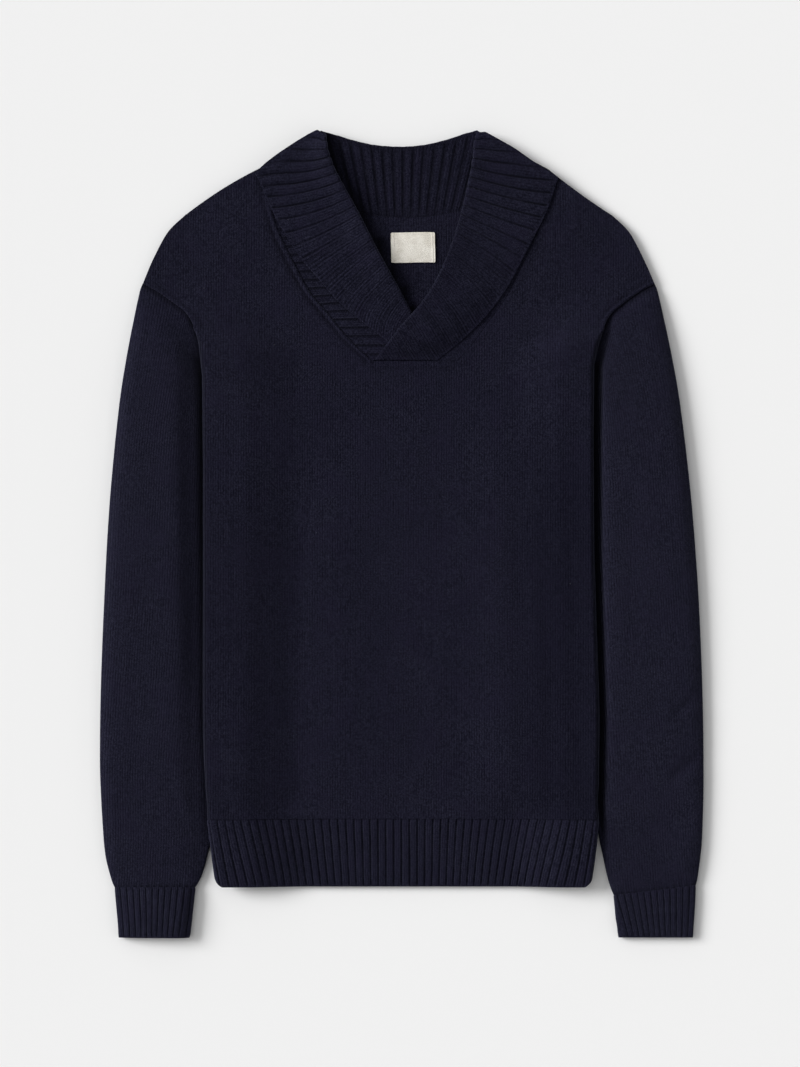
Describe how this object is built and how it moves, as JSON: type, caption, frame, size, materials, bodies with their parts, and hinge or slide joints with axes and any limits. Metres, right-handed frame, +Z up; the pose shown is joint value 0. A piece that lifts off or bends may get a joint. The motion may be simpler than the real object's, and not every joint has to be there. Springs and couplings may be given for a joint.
{
  "type": "shawl collar sweater",
  "caption": "Navy knit pullover laid flat, front up: ribbed shawl collar crossed right over left at a V neck, dropped shoulders, long sleeves and ribbed cuffs and hem, sides folded under.",
  "frame": {"origin": "the middle of the rectangle that the laid sweater covers, on the surface that it lies on", "axes": "+Y from the hem towards the collar, +Z up from the surface, out of the front of the sweater, +X to the viewer's right"},
  "size_m": [0.573, 0.7668, 0.0161],
  "materials": {
    "navy_jersey": "plain knit wool blend, soft and slightly fuzzy",
    "navy_rib": "ribbed knit wool blend, soft and slightly fuzzy",
    "cream_label": "fine woven ribbon, matt"
  },
  "bodies": {
    "root": {"front_panel": "navy_jersey", "back_panel": "navy_jersey", "sleeve_left": "navy_jersey", "sleeve_right": "navy_jersey", "hem_front": "navy_rib", "hem_back": "navy_rib", "cuff_left": "navy_rib", "cuff_right": "navy_rib", "collar_left": "navy_rib", "collar_right": "navy_rib", "collar_back": "navy_rib", "label": "cream_label"}
  },
  "joints": []
}
